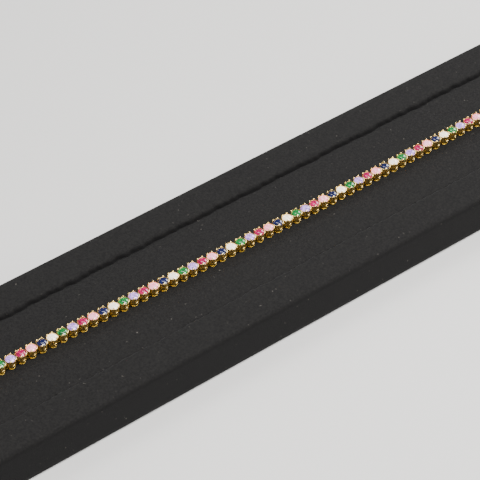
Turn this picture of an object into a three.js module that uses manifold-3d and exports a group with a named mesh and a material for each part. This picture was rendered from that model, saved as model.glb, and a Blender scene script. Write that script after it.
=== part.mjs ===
// Tennis bracelet laid out undone along the channel of its flocked display tray.
// Millimetres, +Z up, +X along the tray. The origin is the centre of the tray's underside.
import * as THREE from 'three';
import { mergeVertices } from 'three/addons/utils/BufferGeometryUtils.js';
import Module from 'manifold-3d';

const wasm = await Module();
wasm.setup();

// The row of links
const PITCH = 3.1;
const LEFT_LINKS = 28;
const RIGHT_LINKS = 29;

// One round stone, which fills its setting's mouth
const STONE_DIAMETER = 2.8;
const TABLE_DIAMETER = 1.5;
const CROWN_HEIGHT = 0.45;

// The conical cup that holds a stone
const CUP_BASE_DIAMETER = 2.3;
const CUP_HEIGHT = 2.65;
const CUP_SIDES = 10;

// Four prong tips hold each stone's crown, well to the sides of the row
const PRONG_DIAMETER = 0.44;
const PRONG_TIP_DIAMETER = 0.34;
const PRONG_SIDES = 5;
const PRONG_INSET = 0.32;
const PRONG_RISE = 0.65;
const PRONG_ROOT = 0.1;
const PRONG_ANGLES = [60, 120, 240, 300];

// The lug that joins each cup to the next
const LUG_WIDTH = 1.0;
const LUG_HEIGHT = 0.7;
const LUG_LIFT = 0.15;

// Clasp: a plain box on the right end and its plain tongue on the left
const CLASP_LENGTH = 6.4;
const CLASP_WIDTH = 3.2;
const CLASP_HEIGHT = 2.7;
const SLOT_LENGTH = 4.6;
const SLOT_WIDTH = 2.3;
const SLOT_HEIGHT = 1.2;
const TONGUE_LENGTH = 4.2;
const TONGUE_THICKNESS = 0.35;
const TONGUE_CLEARANCE = 0.15;
const TONGUE_BLOCK_LENGTH = 1.6;

// Tray: the channel is as long as the laid bracelet and the free room past each end of it
const END_ROOM = 7.45;
const CHANNEL_WIDTH = 31.2;
const TRAY_HEIGHT = 12;
const TRAY_CORNER_RADIUS = 4;
const TRAY_EDGE_ROUND = 1.2;
const RIM_WIDTH = 10.4;
const CHANNEL_DEPTH = 1.3;
const CHANNEL_CORNER_RADIUS = 2.5;

// Clearances between neighbours
const PIECE_GAP = 0.3;
const REST_GAP = 0.1;

// The lay of the row: along is a share of the row's length, aside is millimetres from the tray's middle.
const LAY = [
  { along: -0.5, aside: -0.05 },
  { along: -0.36, aside: -0.12 },
  { along: -0.25, aside: -0.4 },
  { along: -0.14, aside: -0.75 },
  { along: 0, aside: -1.03 },
  { along: 0.12, aside: -1.1 },
  { along: 0.25, aside: -0.93 },
  { along: 0.39, aside: -0.6 },
  { along: 0.5, aside: -0.35 },
];

const LINK_COUNT = LEFT_LINKS + RIGHT_LINKS;
const ROW_LENGTH = (LINK_COUNT - 1) * PITCH;
// The clasp starts where a further cup's foot would, and reaches this far past the last stone's axis.
const CLASP_START = PITCH - CUP_BASE_DIAMETER / 2;
const CLASP_REACH = CLASP_START + CLASP_LENGTH;
const CHANNEL_LENGTH = ROW_LENGTH + 2 * (CLASP_REACH + END_ROOM);
const TRAY_LENGTH = CHANNEL_LENGTH + 2 * RIM_WIDTH;
const TRAY_WIDTH = CHANNEL_WIDTH + 2 * RIM_WIDTH;
const FLOOR_HEIGHT = TRAY_HEIGHT - CHANNEL_DEPTH;
const ROW_HEIGHT = FLOOR_HEIGHT + REST_GAP;
// A stub reaches from its cup's centre to half a gap short of the middle of the pitch.
const STUB_LENGTH = PITCH / 2 - PIECE_GAP / 2;

const gold = { color: 0xd9b263, roughness: 0.25, metalness: 1.0 };
const flock = { color: 0x1a1918, roughness: 0.95, metalness: 0.0 };

const layCurve = new THREE.SplineCurve(
  LAY.map((point) => new THREE.Vector2(point.along * ROW_LENGTH, point.aside)),
);

// The spline's parameter where it passes a given distance along the row, by halving.
function layParameter(x) {
  let low = 0;
  let high = 1;
  for (let step = 0; step < 40; step += 1) {
    const middle = (low + high) / 2;
    if (layCurve.getPoint(middle).x < x) {
      low = middle;
    } else {
      high = middle;
    }
  }
  return (low + high) / 2;
}

// Place and heading on the lay; beyond its ends the row runs straight on.
function layAt(x) {
  const end = ROW_LENGTH / 2;
  const inside = THREE.MathUtils.clamp(x, -end, end);
  const parameter = layParameter(inside);
  const point = layCurve.getPoint(parameter);
  const tangent = layCurve.getTangent(parameter);
  const heading = Math.atan2(tangent.y, tangent.x);
  const y = point.y + (x - inside) * Math.tan(heading);
  return { x, y, heading };
}

function placeOnLay(geometry, x) {
  const { y, heading } = layAt(x);
  const matrix = new THREE.Matrix4().makeRotationZ(heading);
  matrix.setPosition(x, y, ROW_HEIGHT);
  return geometry.applyMatrix4(matrix);
}

function toSolid(geometry) {
  const bare = geometry.clone();
  bare.deleteAttribute('normal');
  bare.deleteAttribute('uv');
  const merged = mergeVertices(bare, 1e-5);
  return new wasm.Manifold(new wasm.Mesh({
    numProp: 3,
    vertProperties: new Float32Array(merged.attributes.position.array),
    triVerts: new Uint32Array(merged.index.array),
  }));
}

function toGeometry(solid) {
  const mesh = solid.getMesh();
  const geometry = new THREE.BufferGeometry();
  geometry.setAttribute('position', new THREE.BufferAttribute(mesh.vertProperties, 3));
  geometry.setIndex(new THREE.BufferAttribute(mesh.triVerts, 1));
  geometry.computeVertexNormals();
  return geometry;
}

function joinAll(solids) {
  return solids.reduce((whole, solid) => whole.add(solid));
}

function makeMesh(name, geometry, look) {
  const mesh = new THREE.Mesh(geometry, new THREE.MeshStandardMaterial(look));
  mesh.name = name;
  return mesh;
}

// Cup, crown facets and table in one profile turned about the stone's axis.
function cupAndStone() {
  const profile = [
    [0, 0],
    [CUP_BASE_DIAMETER / 2, 0],
    [STONE_DIAMETER / 2, CUP_HEIGHT],
    [TABLE_DIAMETER / 2, CUP_HEIGHT + CROWN_HEIGHT],
    [0, CUP_HEIGHT + CROWN_HEIGHT],
  ].map(([radius, height]) => new THREE.Vector2(radius, height));
  const geometry = new THREE.LatheGeometry(profile, CUP_SIDES);
  return toSolid(geometry.rotateX(Math.PI / 2));
}

// A prong tip stands on the crown just inside the stone's edge, with its root below the crown facets.
function prong(angleDegrees) {
  const height = PRONG_ROOT + PRONG_RISE;
  const geometry = new THREE.CylinderGeometry(
    PRONG_TIP_DIAMETER / 2,
    PRONG_DIAMETER / 2,
    height,
    PRONG_SIDES,
  );
  geometry.rotateX(Math.PI / 2);
  geometry.translate(STONE_DIAMETER / 2 - PRONG_INSET, 0, CUP_HEIGHT - PRONG_ROOT + height / 2);
  geometry.rotateZ(THREE.MathUtils.degToRad(angleDegrees));
  return toSolid(geometry);
}

function lug(start, end) {
  const geometry = new THREE.BoxGeometry(end - start, LUG_WIDTH, LUG_HEIGHT);
  geometry.translate((start + end) / 2, 0, LUG_LIFT + LUG_HEIGHT / 2);
  return toSolid(geometry);
}

// One link: each end is a whole lug to the next cup or a stub that stops short of its neighbour.
function link(hasStubBefore, isLast) {
  const parts = [cupAndStone(), ...PRONG_ANGLES.map(prong)];
  parts.push(lug(0, isLast ? STUB_LENGTH : PITCH));
  if (hasStubBefore) {
    parts.push(lug(-STUB_LENGTH, 0));
  }
  return joinAll(parts);
}

function linkX(index) {
  return index * PITCH - ROW_LENGTH / 2;
}

function linkRun(name, first, count) {
  const links = [];
  for (let step = 0; step < count; step += 1) {
    const solid = link(step === 0, step === count - 1);
    const geometry = placeOnLay(toGeometry(solid), linkX(first + step));
    links.push(toSolid(geometry));
  }
  return makeMesh(name, toGeometry(joinAll(links)), gold);
}

// A plain box with a slot in its outer end, and a stub towards the last link.
function claspBox() {
  const start = PITCH / 2 + PIECE_GAP / 2;
  const body = new THREE.BoxGeometry(CLASP_LENGTH, CLASP_WIDTH, CLASP_HEIGHT);
  body.translate(CLASP_START + CLASP_LENGTH / 2, 0, CLASP_HEIGHT / 2);
  const slot = new THREE.BoxGeometry(SLOT_LENGTH * 2, SLOT_WIDTH, SLOT_HEIGHT);
  slot.translate(CLASP_REACH, 0, CLASP_HEIGHT / 2);
  const solid = toSolid(body).add(lug(start, CLASP_START + LUG_WIDTH)).subtract(toSolid(slot));
  return makeMesh('clasp_box', placeOnLay(toGeometry(solid), linkX(LINK_COUNT - 1)), gold);
}

// A block on the first link's stub, with a folded spring tongue that fits the slot.
function claspTongue() {
  const start = -PITCH / 2 - PIECE_GAP / 2;
  const blockEnd = -CLASP_START;
  const blockStart = blockEnd - TONGUE_BLOCK_LENGTH;
  const block = new THREE.BoxGeometry(TONGUE_BLOCK_LENGTH, CLASP_WIDTH, CLASP_HEIGHT);
  block.translate((blockStart + blockEnd) / 2, 0, CLASP_HEIGHT / 2);
  const foldHeight = SLOT_HEIGHT - 2 * TONGUE_CLEARANCE;
  const low = (CLASP_HEIGHT - foldHeight) / 2;
  const inner = TONGUE_THICKNESS;
  const fold = new THREE.Shape();
  fold.moveTo(inner, low);
  fold.lineTo(-TONGUE_LENGTH, low);
  fold.lineTo(-TONGUE_LENGTH, low + TONGUE_THICKNESS);
  fold.lineTo(-TONGUE_LENGTH + inner, low + foldHeight);
  fold.lineTo(-TONGUE_BLOCK_LENGTH / 2, low + foldHeight);
  fold.lineTo(-TONGUE_LENGTH + 2 * inner, low + inner);
  fold.lineTo(inner, low + inner);
  fold.closePath();
  const width = SLOT_WIDTH - 2 * TONGUE_CLEARANCE;
  const strip = new THREE.ExtrudeGeometry(fold, { depth: width, bevelEnabled: false });
  strip.translate(0, 0, -width / 2).rotateX(Math.PI / 2).translate(blockStart, 0, 0);
  const solid = toSolid(block).add(lug(blockEnd - LUG_WIDTH, start)).add(toSolid(strip));
  return makeMesh('clasp_tongue', placeOnLay(toGeometry(solid), linkX(0)), gold);
}

function roundedRectangle(length, width, radius) {
  const x = length / 2;
  const y = width / 2;
  const shape = new THREE.Shape();
  shape.moveTo(-x + radius, -y);
  shape.lineTo(x - radius, -y);
  shape.absarc(x - radius, -y + radius, radius, -Math.PI / 2, 0);
  shape.lineTo(x, y - radius);
  shape.absarc(x - radius, y - radius, radius, 0, Math.PI / 2);
  shape.lineTo(-x + radius, y);
  shape.absarc(-x + radius, y - radius, radius, Math.PI / 2, Math.PI);
  shape.lineTo(-x, -y + radius);
  shape.absarc(-x + radius, -y + radius, radius, Math.PI, Math.PI * 1.5);
  return shape;
}

// A solid board with rounded edges and one long shallow channel.
function displayTray() {
  const round = TRAY_EDGE_ROUND;
  const outline = roundedRectangle(
    TRAY_LENGTH - 2 * round,
    TRAY_WIDTH - 2 * round,
    TRAY_CORNER_RADIUS - round,
  );
  const board = new THREE.ExtrudeGeometry(outline, {
    depth: TRAY_HEIGHT - 2 * round,
    bevelEnabled: true,
    bevelSize: round,
    bevelThickness: round,
    bevelSegments: 2,
    curveSegments: 3,
  });
  board.translate(0, 0, round);
  const channelOutline = roundedRectangle(CHANNEL_LENGTH, CHANNEL_WIDTH, CHANNEL_CORNER_RADIUS);
  const channel = new THREE.ExtrudeGeometry(channelOutline, {
    depth: CHANNEL_DEPTH * 2,
    bevelEnabled: false,
    curveSegments: 3,
  });
  channel.translate(0, 0, FLOOR_HEIGHT);
  const solid = toSolid(board).subtract(toSolid(channel));
  return makeMesh('display_tray', toGeometry(solid), flock);
}

const bracelet = new THREE.Group();
bracelet.add(linkRun('links_left', 0, LEFT_LINKS));
bracelet.add(linkRun('links_right', LEFT_LINKS, RIGHT_LINKS));
bracelet.add(claspBox());
bracelet.add(claspTongue());

const displayedBracelet = new THREE.Group();
displayedBracelet.add(displayTray());
displayedBracelet.add(bracelet);

export default displayedBracelet;
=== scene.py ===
# %% [markdown]
# # A tennis bracelet laid out in its display tray
#
# The bracelet is a row of small gold cups, each holding one round stone, joined by hinges.
# It lies undone along the shallow channel of a black flocked tray. The solid model gives the
# true sizes and places. This lesson adds what such a model leaves out: cut facets, rounded
# prongs, open eyes in the cups, hinges, and the finish of gold, stone and flock.

# %% Load the solid model
import math

import bmesh
import bpy
import numpy as np
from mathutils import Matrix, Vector


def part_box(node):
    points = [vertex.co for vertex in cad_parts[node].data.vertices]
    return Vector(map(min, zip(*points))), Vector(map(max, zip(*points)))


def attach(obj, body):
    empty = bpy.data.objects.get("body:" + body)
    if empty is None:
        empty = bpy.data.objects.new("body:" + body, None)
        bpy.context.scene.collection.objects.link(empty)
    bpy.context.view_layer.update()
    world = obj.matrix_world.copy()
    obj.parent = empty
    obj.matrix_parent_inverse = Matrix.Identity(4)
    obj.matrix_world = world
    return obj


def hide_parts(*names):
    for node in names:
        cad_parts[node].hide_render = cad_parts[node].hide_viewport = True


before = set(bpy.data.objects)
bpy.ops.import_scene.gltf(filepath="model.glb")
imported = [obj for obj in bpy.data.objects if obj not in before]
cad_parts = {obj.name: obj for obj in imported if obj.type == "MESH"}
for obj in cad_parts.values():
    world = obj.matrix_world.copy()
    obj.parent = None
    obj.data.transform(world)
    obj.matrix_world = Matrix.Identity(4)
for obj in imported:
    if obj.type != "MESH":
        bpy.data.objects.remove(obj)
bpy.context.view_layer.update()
MM = 0.001
print("nodes:", sorted(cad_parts))

# %% [markdown]
# ## Where each stone sits
#
# The row bows gently, so a plain step along X would miss the stones. A curve drawn by hand
# could place the links, but the solid model already holds the answer: the stones' tables are
# flat faces at one level. Their corners, sorted along X and split at the wide gaps, average to
# the stones' axes. The heading of each link is the slope of the row at its place.

# %% Read the row from the solids
TABLE_SPACING = 0.8 * MM
TABLE_LEVEL = 3.1 * MM
LEVEL_TOLERANCE = 0.01 * MM
POINT_DIGITS = 7


def mesh_points(mesh):
    """All points of a mesh, as rows of x, y, z."""
    points = np.empty(len(mesh.vertices) * 3)
    mesh.vertices.foreach_get("co", points)
    return points.reshape(-1, 3)


def table_centres(name):
    """The mean of each group of table corners; a gap along X over TABLE_SPACING parts two groups."""
    points = mesh_points(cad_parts[name].data)
    level = points[:, 2].min() + TABLE_LEVEL
    on_table = np.abs(points[:, 2] - level) < LEVEL_TOLERANCE
    corners = np.unique(np.round(points[on_table], POINT_DIGITS), axis=0)
    parts = np.split(corners, np.flatnonzero(np.diff(corners[:, 0]) > TABLE_SPACING) + 1)
    return np.array([part.mean(axis=0) for part in parts])


left_places = table_centres("links_left")
right_places = table_centres("links_right")
places = np.vstack([left_places, right_places])
base_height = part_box("links_left")[0].z
places[:, 2] = base_height
step = np.gradient(places, axis=0)
headings = np.arctan2(step[:, 1], step[:, 0])
pitch = float(np.linalg.norm(step[:, :2], axis=1).mean())
print(f"{len(places)} links, pitch {pitch / MM:.2f} mm")

# %% [markdown]
# ## The camera
#
# The camera looks down across the row with a long lens. It could be set by eye, but its
# azimuth, height and distance follow from the even spacing of the stones and from the tray's
# parallel edges, so they were worked out from those.

# %% Place the camera
VIEW_AZIMUTH = math.radians(-37.95)
VIEW_ELEVATION = math.radians(42)
VIEW_DISTANCE = 585 * MM
FOCAL_PIXELS = 2241
PICTURE_PIXELS = 480
SENSOR_WIDTH = 36
NEAREST_SEEN = 10 * MM
LOOK_AT_X = -6.0 * MM
LOOK_AT_Y = -0.4 * MM
STONE_HEIGHT = 2.8 * MM

look_at = Vector((LOOK_AT_X, LOOK_AT_Y, base_height + STONE_HEIGHT))


def aim(thing, azimuth, elevation, distance):
    """Puts a camera or a light at look_at + d (sin a cos e, -cos a cos e, sin e), facing look_at."""
    level = math.cos(elevation)
    away = Vector((math.sin(azimuth) * level, -math.cos(azimuth) * level, math.sin(elevation)))
    thing.location = look_at + away * distance
    thing.rotation_mode = "QUATERNION"
    thing.rotation_quaternion = (-away).to_track_quat("-Z", "Y")


camera_data = bpy.data.cameras.new("camera")
camera_data.sensor_width = SENSOR_WIDTH
camera_data.lens = FOCAL_PIXELS / PICTURE_PIXELS * SENSOR_WIDTH
camera_data.clip_start = NEAREST_SEEN
camera = bpy.data.objects.new("camera", camera_data)
bpy.context.scene.collection.objects.link(camera)
aim(camera, VIEW_AZIMUTH, VIEW_ELEVATION, VIEW_DISTANCE)
bpy.context.scene.camera = camera
print("lens", round(camera_data.lens), "mm")

# %% [markdown]
# ## Surfaces from arrays
#
# The bracelet's parts could be built from Blender's own cylinders and cubes. They are worked
# out as arrays instead, because each follows a short formula, and a whole link can then be
# joined and copied as numbers. Every helper returns a pair: the points, and faces as lists of
# point numbers. The simplest shape is a profile turned about an axis, as on a lathe.

# %% Grids and turned profiles
def grid_faces(rows, columns, ring=False):
    """Each point of a grid joins the next in its row and in its column. Rows close on themselves,
    and the last row meets the first where ring is true."""
    row = np.arange(rows if ring else rows - 1)[:, None]
    column = np.arange(columns)[None, :]
    here = row * columns
    above = (row + 1) % rows * columns
    after = (column + 1) % columns
    corners = [here + column, here + after, above + after, above + column]
    return np.stack(corners, axis=-1).reshape(-1, 4).tolist()


def turned(profile, sides):
    """Turns rows of (radius, height) about Z: x = r cos t, y = r sin t, z = h."""
    profile = np.asarray(profile, float)
    turn = (np.arange(sides) + 0.5) * 2 * np.pi / sides
    radius = profile[:, :1]
    height = np.repeat(profile[:, 1:], sides, axis=1)
    points = np.stack([radius * np.cos(turn), radius * np.sin(turn), height], axis=-1)
    return points.reshape(-1, 3), grid_faces(len(profile), sides)


print("a grid of 3 rows and 8 columns has", len(grid_faces(3, 8)), "faces")

# %% [markdown]
# ## Wires
#
# Prongs and the rims of the eyes are wires. A curve object with a bevel would make such a
# wire, but its thickness is easier to steer row by row when the circle is carried along the
# path by hand.

# %% Tubes and smooth curves
def unit(vectors):
    """Vectors divided by their own length."""
    return vectors / np.linalg.norm(vectors, axis=-1, keepdims=True)


def tube(path, radii, sides, hint, ring=False):
    """A circle carried along a path: centre + r (across cos t + over sin t). The two directions are
    square to the path, and over is square to the hint too."""
    path = np.asarray(path, float)
    if ring:
        ahead = unit(np.roll(path, -1, axis=0) - np.roll(path, 1, axis=0))
    else:
        ahead = unit(np.gradient(path, axis=0))
    over = unit(np.cross(ahead, np.asarray(hint, float)))
    across = np.cross(over, ahead)
    turn = np.arange(sides) * 2 * np.pi / sides
    radii = np.asarray(radii, float)[:, None, None]
    circle = across[:, None] * np.cos(turn)[:, None] + over[:, None] * np.sin(turn)[:, None]
    points = path[:, None] + radii * circle
    return points.reshape(-1, 3), grid_faces(len(path), sides, ring)


def smooth_rows(rows, steps):
    """A curve through the rows: between two of them it leaves and arrives along half the step from
    the row before to the row after, by the cubic of Hermite."""
    rows = np.asarray(rows, float)
    slope = np.gradient(rows, axis=0)
    place = np.linspace(0, len(rows) - 1, steps)
    first = np.minimum(place.astype(int), len(rows) - 2)
    t = (place - first)[:, None]
    a, b = rows[first], rows[first + 1]
    bend_in, bend_out = slope[first], slope[first + 1]
    hold = (2 * t**3 - 3 * t**2 + 1) * a + (3 * t**2 - 2 * t**3) * b
    return hold + (t**3 - 2 * t**2 + t) * bend_in + (t**3 - t**2) * bend_out


print("halfway between 0 and 1 the curve is at", smooth_rows([[0], [1]], 3)[1, 0])

# %% [markdown]
# ## Blocks with soft edges
#
# The hinge's arms and the clasp are small blocks whose edges are rounded by polishing. A cube
# with a Bevel modifier would do. Here a ball is cut in eight and pulled apart, which gives the
# same soft edges as one array and needs no modifier.

# %% Rounded boxes, turning and joining
POLE_RINGS = np.array([0.02, 0.05])
ON_AXIS = 1e-9


def rounded_box(size, radius, centre, sides=12, rows=6):
    """A ball cut in eight and pulled apart: p = centre + r d + sign(d) (half size - r). Two rings
    close to each pole keep the top and the underside flat up to their rounded edges."""
    tilt = np.linspace(-np.pi / 2, np.pi / 2, rows + 2)
    low_rings = tilt[0] + POLE_RINGS
    high_rings = tilt[-1] - POLE_RINGS[::-1]
    tilt = np.concatenate([tilt[:1], low_rings, tilt[1:-1], high_rings, tilt[-1:]])
    ball, faces = turned(np.stack([np.cos(tilt), np.sin(tilt)], axis=-1), sides)
    ball[np.abs(ball) < ON_AXIS] = 0
    half = np.asarray(size, float) / 2
    return centre + ball * radius + np.sign(ball) * (half - radius), faces


def turned_by(points, angle):
    """Points turned by an angle about Z."""
    cos, sin = np.cos(angle), np.sin(angle)
    return points @ np.array([[cos, sin, 0], [-sin, cos, 0], [0, 0, 1]])


def joined(parts):
    """Several pairs of points and faces as one pair, with the point numbers moved on."""
    starts = np.cumsum([0] + [len(points) for points, _ in parts[:-1]])
    faces = [[corner + start for corner in face] for start, (_, part) in zip(starts, parts) for face in part]
    return np.vstack([points for points, _ in parts]), faces


print("a rounded box has", len(rounded_box((1, 1, 1), 0.1, [0, 0, 0])[1]), "faces")

# %% [markdown]
# ## Meshes and pieces
#
# Points and faces become a mesh once, at the end. The poles of turned shapes hold many points
# in one place, so these are merged before the faces are turned outwards. Each piece is then
# tied to the body it moves with and to the solids it stands for.

# %% Make meshes and place pieces
SAME_POINT = 0.0001 * MM


def mesh_from(name, points, faces):
    """A mesh of the points, with points that coincide merged and all faces turned outwards."""
    mesh = bpy.data.meshes.new(name)
    mesh.from_pydata(points.tolist(), [], [[int(corner) for corner in face] for face in faces])
    work = bmesh.new()
    work.from_mesh(mesh)
    bmesh.ops.remove_doubles(work, verts=work.verts, dist=SAME_POINT)
    bmesh.ops.recalc_face_normals(work, faces=work.faces)
    work.to_mesh(mesh)
    work.free()
    return mesh


def smooth_shade(mesh, angle):
    """Smooth shading, with edges sharper than the angle, in degrees, left crisp."""
    mesh.polygons.foreach_set("use_smooth", np.ones(len(mesh.polygons), bool))
    mesh.set_sharp_from_angle(angle=math.radians(angle))


def place_piece(name, mesh, nodes):
    """Puts a finished mesh in the scene as a piece that stands for the nodes."""
    piece = bpy.data.objects.new(name, mesh)
    bpy.context.scene.collection.objects.link(piece)
    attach(piece, "root")
    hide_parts(*nodes)
    triangles = sum(len(polygon.vertices) - 2 for polygon in mesh.polygons)
    print(f"{name}: {triangles} triangles")
    return piece


# %% [markdown]
# ## Copies by arithmetic
#
# All links are alike, and so are all stones. An Array modifier can't follow the bow of the row,
# and hundreds of small objects would be slow. A mesh is four flat arrays: points, corners,
# where each face starts, and how many corners it has. Copying a link is then one operation on
# each: points are turned and moved, and corner numbers move on by the points in the copies
# before.

# %% Repeat a mesh along the row
def repeated(name, source, spots, turns):
    """Copies of a mesh, each turned about Z by its turn and moved to its spot."""
    points = mesh_points(source)
    corners = np.empty(len(source.loops), int)
    source.loops.foreach_get("vertex_index", corners)
    starts = np.empty(len(source.polygons), int)
    source.polygons.foreach_get("loop_start", starts)
    cos, sin = np.cos(turns)[:, None], np.sin(turns)[:, None]
    x = points[:, 0] * cos - points[:, 1] * sin
    y = points[:, 0] * sin + points[:, 1] * cos
    z = np.repeat(points[None, :, 2], len(spots), axis=0)
    moved = np.stack([x, y, z], axis=-1) + spots[:, None]
    copy = np.arange(len(spots))[:, None]
    mesh = bpy.data.meshes.new(name)
    mesh.vertices.add(len(points) * len(spots))
    mesh.loops.add(len(corners) * len(spots))
    mesh.polygons.add(len(starts) * len(spots))
    mesh.vertices.foreach_set("co", moved.ravel())
    mesh.loops.foreach_set("vertex_index", (corners + copy * len(points)).ravel())
    mesh.polygons.foreach_set("loop_start", (starts + copy * len(corners)).ravel())
    mesh.update(calc_edges=True)
    mesh.validate()
    return mesh


print("places to fill along the row:", len(places))

# %% [markdown]
# ## The cut of a stone
#
# A round brilliant has a flat table, eight star facets, eight kite facets and sixteen upper
# girdle facets above its edge, and eight mains and sixteen lower facets below. A smooth dome
# would be simpler, but only true facets catch the lights one by one. The kites are flat only
# if their side corners lie in the plane through a table corner and the girdle, so that height
# is worked out and not chosen. The table is parted into small flat triangles, so that each can
# carry its own tint, as the facets under a real table show through it.

# %% Cut one stone
FOLDS = 8
GIRDLE_RADIUS = 1.4 * MM
TABLE_RADIUS = 0.82 * MM
SIDE_RADIUS = 1.16 * MM
CROWN_HEIGHT = 0.42 * MM
GIRDLE_HEIGHT = 2.65 * MM
GIRDLE_BAND = 0.07 * MM
PAVILION_DEPTH = 1.1 * MM
PAVILION_SIDE_RADIUS = 0.32 * MM
TABLE_STAR_RADIUS = 0.4 * MM


def circle_points(radius, height, count, shift=0.0):
    """Points at equal angles on a level circle: r cos t, r sin t, h, with t from the shift."""
    turn = (np.arange(count) + shift) * 2 * np.pi / count
    return np.stack([radius * np.cos(turn), radius * np.sin(turn), np.full(count, height)], axis=-1)


def brilliant():
    """Points and facets of one brilliant; kite sides lie on the line from table corner to girdle."""
    half_fold = math.cos(math.pi / FOLDS)
    table_height = GIRDLE_HEIGHT + CROWN_HEIGHT
    reach = SIDE_RADIUS * half_fold
    share = (reach - TABLE_RADIUS) / (GIRDLE_RADIUS - TABLE_RADIUS)
    low_edge = GIRDLE_HEIGHT - GIRDLE_BAND
    culet_height = low_edge - PAVILION_DEPTH
    low_share = PAVILION_SIDE_RADIUS * half_fold / GIRDLE_RADIUS
    points = np.vstack([
        [[0, 0, table_height]],
        circle_points(TABLE_STAR_RADIUS, table_height, FOLDS, 0.5),
        circle_points(TABLE_RADIUS, table_height, FOLDS),
        circle_points(SIDE_RADIUS, table_height - share * CROWN_HEIGHT, FOLDS, 0.5),
        circle_points(GIRDLE_RADIUS, GIRDLE_HEIGHT, 2 * FOLDS),
        circle_points(GIRDLE_RADIUS, low_edge, 2 * FOLDS),
        circle_points(PAVILION_SIDE_RADIUS, culet_height + low_share * PAVILION_DEPTH, FOLDS, 0.5),
        [[0, 0, culet_height]],
    ])
    # A circle's first point is numbered by how many points lie before it in the stack above.
    counts = [1, FOLDS, FOLDS, FOLDS, 2 * FOLDS, 2 * FOLDS, FOLDS]
    star, table, side, edge, low, deep, culet = np.cumsum(counts).tolist()
    faces = []
    for k in range(FOLDS):
        after = (k + 1) % FOLDS
        mid, far = 2 * k + 1, (2 * k + 2) % (2 * FOLDS)
        faces += [
            [0, star + k, star + after],
            [star + k, table + k, table + after],
            [star + k, table + after, star + after],
            [table + k, side + k, table + after],
            [table + after, side + k, edge + far, side + after],
            [side + k, edge + 2 * k, edge + mid],
            [side + k, edge + mid, edge + far],
            [edge + 2 * k, low + 2 * k, low + mid, edge + mid],
            [edge + mid, low + mid, low + far, edge + far],
            [low + 2 * k, deep + k, low + mid],
            [low + mid, deep + k, low + far],
            [low + far, deep + k, culet, deep + after],
        ]
    return points, faces


stone_mesh = mesh_from("stone", *brilliant())
print(len(stone_mesh.polygons), "facets on a stone")

# %% [markdown]
# ## Six colours in a repeating order
#
# The stones of one colour share a material, so they are one piece. In a real stone each facet
# shows another part of its depth. Following the light through it would be slow and noisy at
# this size, so each facet gets a number called spark instead: low where the stone looks deep
# and dark, high where its own colour shows. The numbers come from a seeded draw, so each run
# gives the same stones.

# %% Set the stones along the row
COLOURS = ["green", "lavender", "ruby", "pink", "blue", "white"]
FIRST_COLOUR = 4
STONE_TURN = math.radians(29)
STONE_TURN_SPREAD = math.radians(4)
SPARK_LOW, SPARK_HIGH = 0.05, 0.6
DRAW_SEED = 7

rng = np.random.default_rng(DRAW_SEED)
stone_turns = STONE_TURN + rng.normal(0, STONE_TURN_SPREAD, len(places))
sparks = rng.uniform(SPARK_LOW, SPARK_HIGH, (len(places), len(stone_mesh.polygons)))
colour_of = (np.arange(len(places)) + FIRST_COLOUR) % len(COLOURS)

stones = {}
for number, colour in enumerate(COLOURS):
    chosen = np.flatnonzero(colour_of == number)
    name = f"{colour}_stones"
    mesh = repeated(name, stone_mesh, places[chosen], stone_turns[chosen])
    spark = mesh.attributes.new("spark", "FLOAT", "FACE")
    spark.data.foreach_set("value", sparks[chosen].ravel().astype(np.float32))
    stones[colour] = place_piece(name, mesh, ["links_left", "links_right"])

# %% [markdown]
# ## The cup
#
# The cup is cast: a base ring, a narrow waist and steep walls that end in a thick lip about the
# stone. It is hollow, and a round eye is drilled low through both flanks, nearly square to the
# row. A solid block with a dark disc painted on would look flat from the side. Here one profile
# gives the outside and the inside in one go, and the eye is a true hole, cut once with a
# Boolean modifier on a single cup before that cup is copied.

# %% Make one cup with its eyes
CUP_PROFILE = [
    # radius, height in mm
    (0, 0), (1.05, 0), (1.1, 0.02), (1.12, 0.05), (1.12, 0.08), (1.1, 0.1), (1.05, 0.12), (0.96, 0.22),
    (1.02, 0.4), (1.2, 0.6), (1.32, 0.85), (1.37, 1.2), (1.39, 1.8), (1.43, 2.38), (1.52, 2.6),
    (1.54, 2.7), (1.51, 2.79), (1.44, 2.81), (1.38, 2.75), (1.35, 2.4), (1.31, 1.8), (1.28, 1.2),
    (1.2, 0.85), (1.0, 0.6), (0.7, 0.42), (0, 0.42),
]
WAIST_TO_LIP = slice(7, 17)
CUP_SIDES = 36
EYE_RADIUS = 0.36 * MM
EYE_HEIGHT = 1.05 * MM
EYE_RIM = 0.12 * MM
EYE_TURN = math.radians(8)
BORE_REACH = 2 * MM
BORE_SIDES = 20
RIM_STEPS, RIM_SIDES = 28, 8


def cut_away(points, faces, drill_points, drill_faces):
    """One solid minus another, as points and faces, by a Boolean modifier that is read back."""
    solid = bpy.data.objects.new("solid", mesh_from("solid", points, faces))
    drill = bpy.data.objects.new("drill", mesh_from("drill", drill_points, drill_faces))
    for thing in (solid, drill):
        bpy.context.scene.collection.objects.link(thing)
    cut = solid.modifiers.new("cut", "BOOLEAN")
    cut.operation = "DIFFERENCE"
    cut.solver = "EXACT"
    cut.object = drill
    result = solid.evaluated_get(bpy.context.evaluated_depsgraph_get()).to_mesh()
    left = mesh_points(result)
    left_faces = [list(polygon.vertices) for polygon in result.polygons]
    for thing in (solid, drill):
        bpy.data.objects.remove(thing)
    return left, left_faces


def drilled_cup():
    """The turned cup with one bore through both flanks."""
    points, faces = turned(np.array(CUP_PROFILE) * MM, CUP_SIDES)
    bore_profile = [(0, -BORE_REACH), (EYE_RADIUS, -BORE_REACH), (EYE_RADIUS, BORE_REACH), (0, BORE_REACH)]
    bore, bore_faces = turned(bore_profile, BORE_SIDES)
    bore = turned_by(bore[:, [0, 2, 1]] + [0, 0, EYE_HEIGHT], EYE_TURN)
    return cut_away(points, faces, bore, bore_faces)


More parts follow.
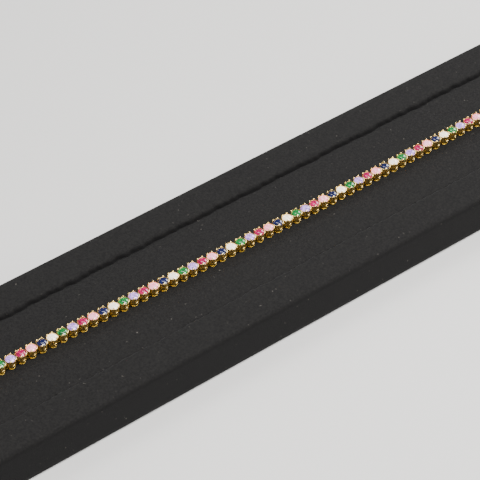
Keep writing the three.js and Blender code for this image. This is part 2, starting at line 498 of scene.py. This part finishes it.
def wall_radius(height):
    """The cup's outer radius at a height, read from its profile."""
    outside = np.array(CUP_PROFILE[WAIST_TO_LIP]) * MM
    return np.interp(height, outside[:, 1], outside[:, 0])


def eye_rim(side):
    """A thin ring on the flank: x = R cos t, z = eye + R sin t, and y on the wall under them."""
    turn = np.arange(RIM_STEPS) * 2 * np.pi / RIM_STEPS
    x = (EYE_RADIUS + EYE_RIM * 0.5) * np.cos(turn)
    z = EYE_HEIGHT + (EYE_RADIUS + EYE_RIM * 0.5) * np.sin(turn)
    y = side * np.sqrt(wall_radius(z) ** 2 - x**2)
    path = np.stack([x, y, z], axis=-1)
    points, faces = tube(path, np.full(RIM_STEPS, EYE_RIM), RIM_SIDES, [0, side, 0], ring=True)
    return turned_by(points, EYE_TURN), faces


cup = drilled_cup()
print(len(cup[1]), "faces on a cup")

# %% [markdown]
# ## Prongs and hinges
#
# Each prong is a wire that runs up the wall, leans over the stone's edge and ends in a
# polished bead. It could be a plain peg, but the round beads are what shows most beside the
# stones. Between two cups lies a hinge of three knuckles on a pin: the middle knuckle belongs
# to one link and the outer two to the next.

# %% Make one whole link
PRONG_ANGLES = np.radians([60, 120, 240, 300])
PRONG_STEPS, PRONG_SIDES = 26, 12
PRONG_ROWS = [
    # radius out, height, thickness in mm
    (1.22, 1.0, 0.0), (1.24, 1.08, 0.1), (1.3, 1.4, 0.16), (1.36, 1.9, 0.19), (1.41, 2.3, 0.21),
    (1.44, 2.58, 0.23), (1.45, 2.74, 0.28), (1.43, 2.84, 0.33), (1.39, 2.94, 0.34), (1.32, 3.01, 0.305),
    (1.22, 3.05, 0.21), (1.15, 3.06, 0.0),
]
HINGE_HEIGHT = 0.4 * MM
KNUCKLE_RADIUS = 0.23 * MM
KNUCKLE_LENGTH = 0.3 * MM
KNUCKLE_STEP = KNUCKLE_LENGTH * 1.08
KNUCKLE_EDGE = 0.04 * MM
KNUCKLE_SIDES = 16
TAB_WIDTH = KNUCKLE_LENGTH * 0.9
TAB_THICKNESS = 0.26 * MM
TAB_EDGE = 0.06 * MM
TAB_SIDES, TAB_ROWS = 8, 4
WAIST_REACH = 0.85 * MM


def prong():
    """The wire's path in the X-Z plane with its own thickness at each row."""
    rows = smooth_rows(PRONG_ROWS, PRONG_STEPS) * MM
    path = np.stack([rows[:, 0], np.zeros(len(rows)), rows[:, 1]], axis=-1)
    return tube(path, np.maximum(rows[:, 2], 0), PRONG_SIDES, [0, 1, 0])


def knuckle(y):
    """A short barrel with rounded ends on the hinge's axis, half a pitch ahead of the stone."""
    half = KNUCKLE_LENGTH / 2
    end, shoulder = KNUCKLE_RADIUS - KNUCKLE_EDGE, half - KNUCKLE_EDGE
    rows = [(0, -half), (end, -half), (KNUCKLE_RADIUS, -shoulder)]
    rows += [(KNUCKLE_RADIUS, shoulder), (end, half), (0, half)]
    points, faces = turned(rows, KNUCKLE_SIDES)
    return points[:, [0, 2, 1]] + [pitch / 2, y, HINGE_HEIGHT], faces


def tab(start, end, y):
    """A small flat arm from a cup's waist to the hinge."""
    size = (end - start, TAB_WIDTH, TAB_THICKNESS)
    return rounded_box(size, TAB_EDGE, [(start + end) / 2, y, HINGE_HEIGHT], TAB_SIDES, TAB_ROWS)


def link():
    """Cup, eye rims, four prongs and the hinge ahead."""
    wire, wire_faces = prong()
    parts = [cup, eye_rim(1), eye_rim(-1)]
    parts += [(turned_by(wire, angle), wire_faces) for angle in PRONG_ANGLES]
    parts += [knuckle(y) for y in (-KNUCKLE_STEP, 0, KNUCKLE_STEP)]
    parts += [tab(WAIST_REACH, pitch / 2, 0)]
    parts += [tab(pitch / 2, pitch - WAIST_REACH, y) for y in (-KNUCKLE_STEP, KNUCKLE_STEP)]
    return joined(parts)


link_mesh = mesh_from("link", *link())
print(len(link_mesh.polygons), "faces on a link")

# %% [markdown]
# ## Painted shade, polish and painted highlight
#
# The gold is painted dark where shade falls and painted bright as a highlight where it is
# polished. Painting this by hand on 57 links would take long, so two numbers go with each point
# of the link, for the gold to read: painted shade, which darkens the inside of the cup, its foot
# and the hinge, and polish, which marks the lip and what stands proud of the wall, where the gold
# is glossy and painted bright as a highlight.

# %% Mark the link and lay it along the row
CUP_FOOT = 1.11 * MM
CUP_LIP = 2.7 * MM
CUP_FLOOR = 0.42 * MM
# Painted shade: the inside of the cup above this floor, the hinge and the foot are darkened.
PAINTED_SHADE_FLOOR = CUP_FLOOR * 0.9
HALF_WALL = 0.04 * MM
PROUD = 0.02 * MM
HINGE_PAINTED_SHADE = 0.7
HINGE_TOP = 0.66 * MM
FOOT_PAINTED_SHADE = 0.45
FOOT_TOP = 0.13 * MM
METAL_CREASE = 40


def shade_and_polish_of(points):
    """Painted shade is 1 inside the cup, less on the hinge and the foot, and 0 elsewhere. Polish,
    which also paints a highlight, is 1 on the lip and on what stands proud of the cup's wall."""
    out = np.hypot(points[:, 0], points[:, 1])
    height = points[:, 2]
    inside = (out < wall_radius(height) - HALF_WALL) & (height > PAINTED_SHADE_FLOOR) & (height < CUP_LIP)
    outside = out > wall_radius(height) + PROUD
    hinge = (out > CUP_FOOT + PROUD) & (height < HINGE_TOP) & outside
    proud = outside & (height > CUP_FLOOR) & ~hinge
    foot = height < FOOT_TOP
    # Painted shade: full inside the cup, less on the hinge and at the foot, where shade falls.
    painted_shade = inside + HINGE_PAINTED_SHADE * hinge + FOOT_PAINTED_SHADE * foot
    # Polish makes the gold glossy and also paints it bright as a highlight.
    return {"painted_shade": painted_shade, "polish_and_highlight": proud | (height > CUP_LIP)}


link_shade_and_polish = shade_and_polish_of(mesh_points(link_mesh))

settings = []
runs = {"left": (0, len(left_places)), "right": (len(left_places), len(places))}
for side, (first, last) in runs.items():
    mesh = repeated(f"settings_{side}", link_mesh, places[first:last], headings[first:last])
    for mark_name, amount in link_shade_and_polish.items():
        attribute = mesh.attributes.new(mark_name, "FLOAT", "POINT")
        attribute.data.foreach_set("value", np.tile(amount, last - first).astype(np.float32))
    smooth_shade(mesh, METAL_CREASE)
    settings.append(place_piece(f"settings_{side}", mesh, [f"links_{side}"]))

# %% [markdown]
# ## The clasp
#
# The clasp lies past the picture's edges, so it stays plain: a small box with a slot at one
# end of the row and a folded tongue at the other. A real one has a spring and a catch inside,
# which nothing here would show. Cubes with a Bevel modifier would do for both pieces. They are
# rounded boxes like the hinge's arms instead, so that a block, a neck and a leaf are each one
# call. Their edges are soft and their metal is satin, and their places follow the row's ends
# and the solid model's box.

# %% Make the clasp
CLASP_WIDTH = 3.2 * MM
CLASP_EDGE = 0.3 * MM
CLASP_SIDES, CLASP_ROWS = 24, 10
SLOT_SIZE = np.array([9.2, 2.3, 1.2]) * MM
SLOT_EDGE = 0.1 * MM
SLOT_SIDES, SLOT_ROWS = 8, 4
NECK_WIDTH = 1.0 * MM
NECK_HEIGHT = 0.6 * MM
NECK_EDGE = 0.15 * MM
NECK_START = 1.0 * MM
BLOCK_LENGTH = 1.6 * MM
TONGUE_SIZE = np.array([4.4, 2.0, 0.3]) * MM
TONGUE_EDGE = 0.12 * MM
TONGUE_SUNK = 0.3 * MM
TONGUE_LEAVES = [
    # lift above the middle, slope
    (-0.3 * MM, 0.0),
    (0.15 * MM, 0.08),
]

box_low, box_high = (np.array(corner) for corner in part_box("clasp_box"))
clasp_height = box_high[2] - box_low[2]
box_start = pitch - CUP_FOOT
box_end = box_high[0] - places[-1, 0]


def clasp_block(start, end):
    """A block with soft edges from start to end along X, as high as the solid model's clasp."""
    size = (end - start, CLASP_WIDTH, clasp_height)
    return rounded_box(size, CLASP_EDGE, [(start + end) / 2, 0, clasp_height / 2], CLASP_SIDES, CLASP_ROWS)


def neck(side):
    """A short bar from the last cup to the clasp, ahead of the cup for side 1 and behind it for -1."""
    middle = side * (box_start / 2 + NECK_START)
    return rounded_box((box_start, NECK_WIDTH, NECK_HEIGHT), NECK_EDGE, [middle, 0, HINGE_HEIGHT])


def leaf(middle, lift, slope):
    """One leaf of the tongue: a thin plate whose height grows by its slope along X."""
    points, faces = rounded_box(TONGUE_SIZE, TONGUE_EDGE, [0, 0, 0])
    points[:, 2] += slope * points[:, 0] + lift + clasp_height / 2
    return points + [middle, 0, 0], faces


def end_piece(name, parts, end):
    """A clasp piece made along X, turned to the row's heading and set at the row's end."""
    points, faces = joined(parts)
    mesh = mesh_from(name, turned_by(points, headings[end]) + places[end], faces)
    smooth_shade(mesh, METAL_CREASE)
    return place_piece(f"{name}_polished", mesh, [name])


slot = rounded_box(SLOT_SIZE, SLOT_EDGE, [box_end, 0, clasp_height / 2], SLOT_SIDES, SLOT_ROWS)
slotted_box = cut_away(*clasp_block(box_start, box_end), *slot)
clasp_box = end_piece("clasp_box", [slotted_box, neck(1)], -1)

block_start = -box_start - BLOCK_LENGTH
tongue_middle = block_start - TONGUE_SIZE[0] / 2 + TONGUE_SUNK
leaves = [leaf(tongue_middle, lift, slope) for lift, slope in TONGUE_LEAVES]
tongue_block = clasp_block(block_start, -box_start)
clasp_tongue = end_piece("clasp_tongue", [tongue_block, neck(-1), *leaves], 0)

# %% [markdown]
# ## The tray
#
# The tray is a stiff board wrapped in flock, with one shallow channel. It could be a bevelled
# block with the channel cut out. Seen from above it is a set of rounded rectangles, one inside
# the other, so its surface is a stack of such rings here: each row of the table says how far
# the ring lies inside the outline, how high it is and how round its corners are. The first and
# last rings shrink to a line, which closes the underside and the channel's floor. Cloth never
# lies quite straight, so the groove at the channel's foot wanders a little, which a cut block
# couldn't do.

# %% The tray's section
tray_low, tray_high = (np.array(corner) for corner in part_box("display_tray"))
tray_length, tray_width = (tray_high - tray_low)[:2]
# The table and the five values for it are in mm.
LINK_CLEARANCE = 0.06
RIM = 10.4
TOP = tray_high[2] / MM
CHANNEL = base_height / MM - LINK_CLEARANCE
HALF = tray_width / MM / 2
TRAY_SECTION = np.array([
    # inset, height and corner radius in mm, waviness
    (HALF, 0, 0, 0),
    (12, 0, 0.5, 0),
    (2, 0, 2.4, 0),
    (1.1, 0.05, 3, 0),
    (0.4, 0.4, 3.6, 0),
    (0.1, 1.1, 3.9, 0),
    (0.05, 2, 4, 0),
    (0.05, TOP / 2, 4, 0),
    (0.05, TOP - 1.8, 4, 0),
    (0.12, TOP - 1.0, 3.9, 0),
    (0.42, TOP - 0.42, 3.6, 0),
    (1.1, TOP - 0.1, 3, 0),
    (2.2, TOP, 2.6, 0),
    (RIM * 0.4, TOP, 2.5, 0),
    (RIM * 0.6, TOP, 2.5, 0),
    (RIM * 0.8, TOP, 2.5, 0.1),
    (RIM - 1.1, TOP - 0.03, 2.5, 0.3),
    (RIM - 0.5, TOP - 0.16, 2.5, 0.6),
    (RIM - 0.12, TOP - 0.5, 2.5, 1),
    (RIM, CHANNEL + 0.25, 2.5, 1),
    (RIM + 0.12, CHANNEL - 0.3, 2.4, 1.2),
    (RIM + 0.3, CHANNEL - 0.3, 2.3, 1.6),
    (RIM + 0.65, CHANNEL - 0.06, 2.1, 1.8),
    (RIM + 1.2, CHANNEL, 1.8, 1),
    (RIM + 2.5, CHANNEL, 1.2, 0),
    (RIM + 6, CHANNEL, 0.8, 0),
    (HALF - 4, CHANNEL, 0.4, 0),
    (HALF, CHANNEL, 0, 0),
])
print(f"tray {tray_length / MM:.0f} by {tray_width / MM:.0f} mm, channel {TOP - CHANNEL:.1f} mm deep")

# %% [markdown]
# ## The tray's skin
#
# The waves of the groove could be noise from a Displace modifier. They are sums of sines here,
# whose own phase wanders, because they should run along the edge and never repeat, and because
# only the few rings near the groove may move.

# %% Make the tray
LONG_STEPS, SHORT_STEPS, CORNER_STEPS = 400, 70, 9
WAVE_ASIDE = 0.3 * MM
WAVE_LIFT = 0.03 * MM
WAVE_SHIFT = 31 * MM
WAVE_SLANT = 1.7
WAVES = [
    # length in mm, share, start, bend, length of the bend in mm, start of the bend
    (0.5, 1.0, 0, 2.0, 2.3, 0),
    (1.1, 1.0, 0, 1.5, 3.7, 1),
    (3.1, 0.9, 2, 0.0, 1.0, 0),
]
ON_SIDE = 0.001 * MM
SIDE_DIGITS = 6
TRAY_CREASE = 50


def ring_points(inset, corner):
    """A rounded rectangle: quarter circles about four centres, with even steps on the sides between."""
    reach_x, reach_y = tray_length / 2 - inset - corner, tray_width / 2 - inset - corner
    centres = np.array([(reach_x, -reach_y), (reach_x, reach_y), (-reach_x, reach_y), (-reach_x, -reach_y)])
    starts = np.array([-0.5, 0, 0.5, 1])[:, None] * np.pi
    turn = starts + np.linspace(0, np.pi / 2, CORNER_STEPS)
    arcs = centres[:, None] + corner * np.stack([np.cos(turn), np.sin(turn)], axis=-1)
    run = []
    for k in range(4):
        steps = SHORT_STEPS if k % 2 == 0 else LONG_STEPS
        share = np.linspace(0, 1, steps + 1)[1:-1, None]
        run += [arcs[k], arcs[k, -1] * (1 - share) + arcs[(k + 1) % 4, 0] * share]
    return np.vstack(run)


def wander(points):
    """Waves along the tray: the sum of share sin(s / length + start + bend sin(s / its length + its
    start)), over the sum of the shares, with s along the tray."""
    along = (points[:, 0] + WAVE_SLANT * points[:, 1]) / MM
    total = np.zeros(len(points))
    for length, share, start, bend, bend_length, bend_start in WAVES:
        phase = start + bend * np.sin(along / bend_length + bend_start)
        total += share * np.sin(along / length + phase)
    return total / sum(row[1] for row in WAVES)


def tray_ring(inset, height, corner, waviness):
    """One ring of the tray, moved inwards and lifted by the waves where its waviness is over 0."""
    flat = ring_points(inset, corner)
    reach = [tray_length / 2 - inset, tray_width / 2 - inset]
    on_side = np.abs(np.abs(flat) - reach) < ON_SIDE
    inwards = -np.sign(np.round(flat, SIDE_DIGITS)) * on_side
    flat = flat + inwards * (wander(flat) * waviness * WAVE_ASIDE)[:, None]
    lift = wander(flat + WAVE_SHIFT) * waviness * WAVE_LIFT
    return np.column_stack([flat, height + lift])


rings = [tray_ring(*row) for row in TRAY_SECTION * [MM, MM, MM, 1]]
tray_mesh = mesh_from("tray", np.vstack(rings), grid_faces(len(rings), len(rings[0])))
smooth_shade(tray_mesh, TRAY_CREASE)
tray = place_piece("flocked_tray", tray_mesh, ["display_tray"])

# %% [markdown]
# ## Node helpers
#
# Materials are trees of nodes. They could be linked one by one, but a few short helpers keep
# each material's own story readable: a node with its values, a mix of two colours, a value
# moved from one range to another, and noise over the piece's own place.

# %% Helpers for nodes
def set_inputs(node, values):
    """Plain values for a node's named inputs, where an underscore stands for a space."""
    for name, value in values.items():
        node.inputs[name.replace("_", " ")].default_value = value
    return node


def add_node(tree, kind, **inputs):
    """A node of that kind, with plain values for the named inputs."""
    return set_inputs(tree.nodes.new(kind), inputs)


def new_group(name, inputs, outputs):
    """An empty node group with named sockets, and its input and output nodes."""
    tree = bpy.data.node_groups.new(name, "ShaderNodeTree")
    for socket, kind in inputs.items():
        tree.interface.new_socket(socket, in_out="INPUT", socket_type=f"NodeSocket{kind}")
    for socket, kind in outputs.items():
        tree.interface.new_socket(socket, in_out="OUTPUT", socket_type=f"NodeSocket{kind}")
    return tree, tree.nodes.new("NodeGroupInput"), tree.nodes.new("NodeGroupOutput")


def colour_mix(tree, factor, first, second):
    """A Mix node for colours; each of the three may be a socket or a plain value."""
    node = tree.nodes.new("ShaderNodeMix")
    node.data_type = "RGBA"
    for socket, value in ((node.inputs[0], factor), (node.inputs[6], first), (node.inputs[7], second)):
        if isinstance(value, bpy.types.NodeSocket):
            tree.links.new(value, socket)
        else:
            socket.default_value = value
    return node.outputs[2]


def value_range(tree, value, low, high, out_low=0.0, out_high=1.0):
    """Maps a value from one range to another, held at the ends."""
    node = add_node(tree, "ShaderNodeMapRange", From_Min=low, From_Max=high, To_Min=out_low, To_Max=out_high)
    tree.links.new(value, node.inputs["Value"])
    return node.outputs["Result"]


def value_sum(tree, first, second, clamped=False):
    """Two values added, held between 0 and 1 where clamped is true."""
    node = tree.nodes.new("ShaderNodeMath")
    node.use_clamp = clamped
    tree.links.new(first, node.inputs[0])
    tree.links.new(second, node.inputs[1])
    return node.outputs[0]


def object_noise(tree, scale, detail=2.0):
    """Noise over Object coordinates, which here are metres, so the scale counts cells in a metre."""
    place = tree.nodes.new("ShaderNodeTexCoord")
    noise = add_node(tree, "ShaderNodeTexNoise", Scale=scale, Detail=detail)
    tree.links.new(place.outputs["Object"], noise.inputs["Vector"])
    return noise.outputs["Fac"]


def attribute_value(tree, name):
    """The number that a mesh carries under that name."""
    node = tree.nodes.new("ShaderNodeAttribute")
    node.attribute_name = name
    return node.outputs["Fac"]


# %% [markdown]
# ## Two effects as node groups
#
# Six materials turn a facet's spark into colour, from a deep tint to the stone's own colour,
# so that effect is one node group with named inputs. The metal's tone with its painted shade,
# and its polish with its painted highlight, make a longer tree. It is a group as well, so that
# another metal could be placed with other colours, and so that the gold itself stays short.

# %% Make the shared groups
NOISE_LOW, NOISE_HIGH = 0.3, 0.7
TONE_NOISE = 900
TONE_DRIFT = 0.15
GLOSS_NOISE = 2500
SMOOTHER, ROUGHER = -0.05, 0.07
GRAIN_NOISE = 6000
SATIN, POLISHED = 0.44, 0.22
SPARK_FULL = 0.5


def make_metal_group():
    """Tone deepens towards the base as painted shade, drifts with slow noise and is darkened further where
    painted shade is marked. What is marked as polished is glossy and painted bright as a highlight, the
    rest satin as cast, and the gloss drifts with faster noise."""
    inputs = {"Bright": "Color", "Deep": "Color", "Grime": "Color"}
    inputs |= {"Base Height": "Float", "Rim Height": "Float"}
    outputs = {"Colour": "Color", "Roughness": "Float", "Height": "Float"}
    tree, given, out = new_group("metal_with_painted_shade", inputs, outputs)
    place = tree.nodes.new("ShaderNodeTexCoord")
    parts = tree.nodes.new("ShaderNodeSeparateXYZ")
    tree.links.new(place.outputs["Object"], parts.inputs[0])
    # Painted shade: the tone runs from Deep at the base height to Bright at the rim height.
    rise = tree.nodes.new("ShaderNodeMapRange")
    tree.links.new(parts.outputs["Z"], rise.inputs["Value"])
    tree.links.new(given.outputs["Base Height"], rise.inputs["From Min"])
    tree.links.new(given.outputs["Rim Height"], rise.inputs["From Max"])
    slow = object_noise(tree, TONE_NOISE)
    drift = value_range(tree, slow, NOISE_LOW, NOISE_HIGH, -TONE_DRIFT, TONE_DRIFT)
    brightness = value_sum(tree, rise.outputs["Result"], drift, clamped=True)
    tone = colour_mix(tree, brightness, given.outputs["Deep"], given.outputs["Bright"])
    # Painted shade: the tone is darkened towards the dark colour where the mesh marks shade.
    shaded_tone = colour_mix(tree, attribute_value(tree, "painted_shade"), tone, given.outputs["Grime"])
    polish_and_highlight_mask = attribute_value(tree, "polish_and_highlight")
    # Painted highlight: what is marked as polished takes the Bright colour; its lower roughness is real
    # polish.
    tree.links.new(colour_mix(tree, polish_and_highlight_mask, shaded_tone, given.outputs["Bright"]), out.inputs["Colour"])
    gloss = value_range(tree, polish_and_highlight_mask, 0.0, 1.0, SATIN, POLISHED)
    fast = object_noise(tree, GLOSS_NOISE, 4)
    unevenness = value_range(tree, fast, NOISE_LOW, NOISE_HIGH, SMOOTHER, ROUGHER)
    tree.links.new(value_sum(tree, gloss, unevenness), out.inputs["Roughness"])
    tree.links.new(object_noise(tree, GRAIN_NOISE, 3), out.inputs["Height"])
    return tree


def make_fire_group():
    """The spark runs from the deep colour at its lowest to the body colour at SPARK_FULL and over."""
    tree, given, out = new_group("facet_fire", {"Deep": "Color", "Body": "Color"}, {"Colour": "Color"})
    body = value_range(tree, attribute_value(tree, "spark"), SPARK_LOW, SPARK_FULL)
    tree.links.new(colour_mix(tree, body, given.outputs["Deep"], given.outputs["Body"]), out.inputs["Colour"])
    return tree


metal_group = make_metal_group()
fire_group = make_fire_group()
print("groups:", metal_group.name, fire_group.name)

# %% [markdown]
# ## Gold
#
# The gold is bright and warm, with painted shade that makes it deeper towards the cups' feet and
# almost black in the eyes and hinges, and glossy only on lips and prongs, which also carry a painted
# highlight. One flat gold colour would look like plastic at this size, because the eye reads the
# small changes of tone and gloss as metal.

# %% Make the gold
RIM_ABOVE_BASE = 2.4 * MM
GRAIN_STRENGTH = 0.15
GRAIN_DEPTH = 0.01 * MM


def new_material(name):
    """A material with nodes and its Principled shader."""
    material = bpy.data.materials.new(name)
    material.use_nodes = True
    return material, material.node_tree, material.node_tree.nodes["Principled BSDF"]


def srgb(red, green, blue):
    """A colour given as it looks on screen, 0 to 255, in the linear values that shaders use."""
    share = np.array([red, green, blue]) / 255
    linear = np.where(share <= 0.04045, share / 12.92, ((share + 0.055) / 1.055) ** 2.4)
    return (*linear.tolist(), 1.0)


def place_group(tree, group, **inputs):
    """A shared group placed in a material with its own values."""
    node = tree.nodes.new("ShaderNodeGroup")
    node.node_tree = group
    return set_inputs(node, inputs)


def add_bump(tree, height, strength, distance):
    """A Bump node for a height, giving a normal."""
    bump = add_node(tree, "ShaderNodeBump", Strength=strength, Distance=distance)
    tree.links.new(height, bump.inputs["Height"])
    return bump.outputs["Normal"]


def make_gold():
    """Yellow gold, polished where it is rubbed, with painted shade and a painted highlight."""
    material, tree, shader = new_material("gold")
    # Painted shade: Deep towards the base, and the near black colour in the cup, hinge and foot. Painted
    # highlight: Bright on what is polished.
    tone = place_group(
        tree, metal_group,
        Bright=srgb(255, 224, 144), Deep=srgb(208, 170, 60), Grime=srgb(22, 14, 4),
        Base_Height=base_height, Rim_Height=base_height + RIM_ABOVE_BASE,
    )
    tree.links.new(tone.outputs["Colour"], shader.inputs["Base Color"])
    tree.links.new(tone.outputs["Roughness"], shader.inputs["Roughness"])
    grain = add_bump(tree, tone.outputs["Height"], GRAIN_STRENGTH, GRAIN_DEPTH)
    tree.links.new(grain, shader.inputs["Normal"])
    shader.inputs["Metallic"].default_value = 1.0
    return material


gold = make_gold()
gold_pieces = (*settings, clasp_box, clasp_tongue)
for piece in gold_pieces:
    piece.data.materials.append(gold)
print("gold on", len(gold_pieces), "pieces")

# %% [markdown]
# ## Stones
#
# A stone is a polished dielectric with a high index, so each facet mirrors the lights sharply
# over its own tint. Full transmission would need many bounces to bring light back out of the
# pavilion. A quarter of it, with a little glow in the facet's tint, stands for that light.

# %% Make the stones' materials
STONE_TINTS = {
    # colour: deep, body
    "green": (srgb(4, 70, 32), srgb(12, 124, 54)),
    "lavender": (srgb(120, 84, 166), srgb(206, 166, 238)),
    "ruby": (srgb(96, 2, 44), srgb(180, 6, 86)),
    "pink": (srgb(232, 124, 156), srgb(255, 192, 208)),
    "blue": (srgb(5, 8, 36), srgb(15, 23, 78)),
    "white": (srgb(246, 228, 206), srgb(255, 250, 238)),
}
STONE_GLOW = 0.65


def make_stone(colour):
    """A cut stone of one colour."""
    material, tree, shader = new_material(f"{colour}_stone")
    deep, body = STONE_TINTS[colour]
    fire = place_group(tree, fire_group, Deep=deep, Body=body)
    tree.links.new(fire.outputs["Colour"], shader.inputs["Base Color"])
    tree.links.new(fire.outputs["Colour"], shader.inputs["Emission Color"])
    shader.inputs["Emission Strength"].default_value = STONE_GLOW
    shader.inputs["Roughness"].default_value = 0.04
    shader.inputs["IOR"].default_value = 1.9
    shader.inputs["Transmission Weight"].default_value = 0.25
    return material


for colour, piece in stones.items():
    piece.data.materials.append(make_stone(colour))
print("stones:", ", ".join(stones))

# %% [markdown]
# ## Flock
#
# Flock is a mat of short upright fibres. Real hairs on a tray of this size would be millions,
# so it is a surface: black, fully rough, with a faint sheen and a fine nap. Steep faces are
# painted darker as shade, and pale specks of lint gather on it.

# %% Make the flock
PATCH_NOISE = 1800
PATCH_LOW, PATCH_HIGH = 0.35, 0.65
STEEP, LEVEL = 0.2, 0.95
LINT_NOISE = 900
LINT_LOW, LINT_HIGH = 0.71, 0.76
LINT_SHARE = 0.5
NAP_NOISE = 3200
NAP_STRENGTH = 0.6
NAP_DEPTH = 0.12 * MM


def make_flock():
    """Black flock with nap and lint."""
    material, tree, shader = new_material("black_flock")
    patches = value_range(tree, object_noise(tree, PATCH_NOISE, 6), PATCH_LOW, PATCH_HIGH)
    cloth = colour_mix(tree, patches, srgb(20, 19, 19), srgb(30, 29, 28))
    # Painted shade: faces that stand steep are darkened towards near black, as walls in shade.
    facing = tree.nodes.new("ShaderNodeNewGeometry")
    upright = tree.nodes.new("ShaderNodeSeparateXYZ")
    tree.links.new(facing.outputs["Normal"], upright.inputs[0])
    level = value_range(tree, upright.outputs["Z"], STEEP, LEVEL)
    cloth = colour_mix(tree, level, srgb(14, 13, 13), cloth)
    lint = value_range(tree, object_noise(tree, LINT_NOISE, 6), LINT_LOW, LINT_HIGH, 0.0, LINT_SHARE)
    tree.links.new(colour_mix(tree, lint, cloth, srgb(120, 114, 106)), shader.inputs["Base Color"])
    nap = object_noise(tree, NAP_NOISE, 3)
    tree.links.new(add_bump(tree, nap, NAP_STRENGTH, NAP_DEPTH), shader.inputs["Normal"])
    shader.inputs["Roughness"].default_value = 0.95
    shader.inputs["Specular IOR Level"].default_value = 0.2
    shader.inputs["Sheen Weight"].default_value = 0.02
    shader.inputs["Sheen Roughness"].default_value = 0.5
    return material


tray.data.materials.append(make_flock())
print("materials:", sorted(material.name for material in bpy.data.materials))

# %% [markdown]
# ## Floor
#
# The tray stands on a plain pale floor, which is only there for the picture. It is one large
# square, a hair below the tray, so that the two never share a plane.

# %% Lay the floor
FLOOR_REACH = 3.0
FLOOR_DROP = 0.02 * MM
FLOOR_NOISE = 4

floor_mesh = bpy.data.meshes.new("floor")
floor_sides = [(-1, -1), (1, -1), (1, 1), (-1, 1)]
floor_corners = [(x * FLOOR_REACH, y * FLOOR_REACH, -FLOOR_DROP) for x, y in floor_sides]
floor_mesh.from_pydata(floor_corners, [], [(0, 1, 2, 3)])
floor = bpy.data.objects.new("floor", floor_mesh)
bpy.context.scene.collection.objects.link(floor)
floor_material, floor_tree, floor_shader = new_material("pale_floor")
floor_noise = object_noise(floor_tree, FLOOR_NOISE)
floor_tone = colour_mix(floor_tree, floor_noise, srgb(222, 220, 216), srgb(232, 230, 227))
floor_tree.links.new(floor_tone, floor_shader.inputs["Base Color"])
floor_shader.inputs["Roughness"].default_value = 0.8
floor_mesh.materials.append(floor_material)
print("floor", 2 * FLOOR_REACH, "m wide")

# %% [markdown]
# ## Light
#
# Small polished things show their lights as much as themselves. The strongest soft light hangs
# above, on the camera's right, so that prongs and facets catch it on that side. A wide one
# fills the near side, one rakes along the row from the far right, and a weak one behind lifts
# the far edges. A dim world stands for the room. One bare lamp would do for the shadows, but it
# would leave the gold black between its few highlights.

# %% Hang the lights
LIGHTS = [
    # name, azimuth, elevation, distance and size in metres, power
    ("key", 24, 65, 0.7, 0.4, 9.5),
    ("near", -60, 26, 0.8, 0.4, 2.6),
    ("side", 112, 30, 0.8, 0.4, 4.0),
    ("back", 150, 60, 0.8, 0.25, 1.2),
]
ROOM_COLOUR = (0.92, 0.94, 1.0, 1)
ROOM_STRENGTH = 0.2


def soft_light(name, azimuth, elevation, distance, size, power):
    """A square area light on a sphere about the bracelet, facing its middle."""
    data = bpy.data.lights.new(name, "AREA")
    data.size = size
    data.energy = power
    light = bpy.data.objects.new(name, data)
    bpy.context.scene.collection.objects.link(light)
    aim(light, math.radians(azimuth), math.radians(elevation), distance)


for row in LIGHTS:
    soft_light(*row)
world = bpy.data.worlds.new("studio")
world.use_nodes = True
world.node_tree.nodes["Background"].inputs["Color"].default_value = ROOM_COLOUR
world.node_tree.nodes["Background"].inputs["Strength"].default_value = ROOM_STRENGTH
bpy.context.scene.world = world
print(len(LIGHTS), "lights set")
